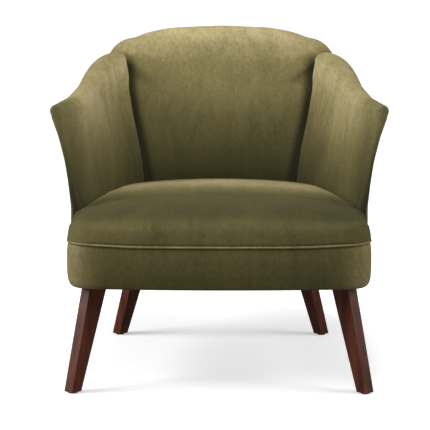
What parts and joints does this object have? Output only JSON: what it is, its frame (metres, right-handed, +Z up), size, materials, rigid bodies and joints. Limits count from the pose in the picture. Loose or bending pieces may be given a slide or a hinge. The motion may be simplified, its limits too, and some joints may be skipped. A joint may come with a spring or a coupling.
{
  "type": "accent chair",
  "caption": "Velvet-covered accent chair with flared arms, an arched raked back, a bowed crowned seat with a welt, and splayed tapered wooden legs.",
  "frame": {"origin": "on the floor under the middle of the chair's outer box", "axes": "+Z up, +Y from the front of the seat to the back, +X to the right as seen from the front"},
  "size_m": [0.76, 0.728, 0.7949],
  "materials": {
    "velvet": "short-pile olive velvet",
    "foam": "open-cell cushion foam",
    "frame_wood": "planed, unfinished hardwood and plywood",
    "leg_wood": "dark walnut stain under satin lacquer",
    "webbing": "woven elastic webbing",
    "deck_cloth": "plain woven cloth",
    "dust_cloth": "thin bonded black cloth",
    "zinc_plate": "yellow zinc",
    "fixing_steel": "bright zinc",
    "nylon": "moulded nylon"
  },
  "bodies": {
    "root": {"arm_post_left": "frame_wood", "arm_post_right": "frame_wood", "arm_tack_rail_left": "frame_wood", "arm_tack_rail_right": "frame_wood", "arm_top_rail_left": "frame_wood", "arm_top_rail_right": "frame_wood", "back_post_left": "frame_wood", "back_post_right": "frame_wood", "back_seat_rail": "frame_wood", "back_tack_rail": "frame_wood", "back_webbing": "webbing", "corner_blocks": "frame_wood", "crest_rail": "frame_wood", "dust_cover": "dust_cloth", "foot_glides": "nylon", "front_seat_rail": "frame_wood", "hanger_bolts": "fixing_steel", "inside_arm_pad_left": "velvet", "inside_arm_pad_right": "velvet", "inside_back_pad": "velvet", "leg_front_left": "leg_wood", "leg_front_right": "leg_wood", "leg_plates": "zinc_plate", "leg_rear_left": "leg_wood", "leg_rear_right": "leg_wood", "outside_arm_panel_left": "velvet", "outside_arm_panel_right": "velvet", "outside_back_panel": "velvet", "plate_screws": "fixing_steel", "seat_border": "velvet", "seat_deck_cloth": "deck_cloth", "seat_foam": "foam", "seat_top": "velvet", "seat_webbing_cross": "webbing", "seat_webbing_long": "webbing", "seat_welt": "velvet", "side_seat_rail_left": "frame_wood", "side_seat_rail_right": "frame_wood"}
  },
  "joints": []
}
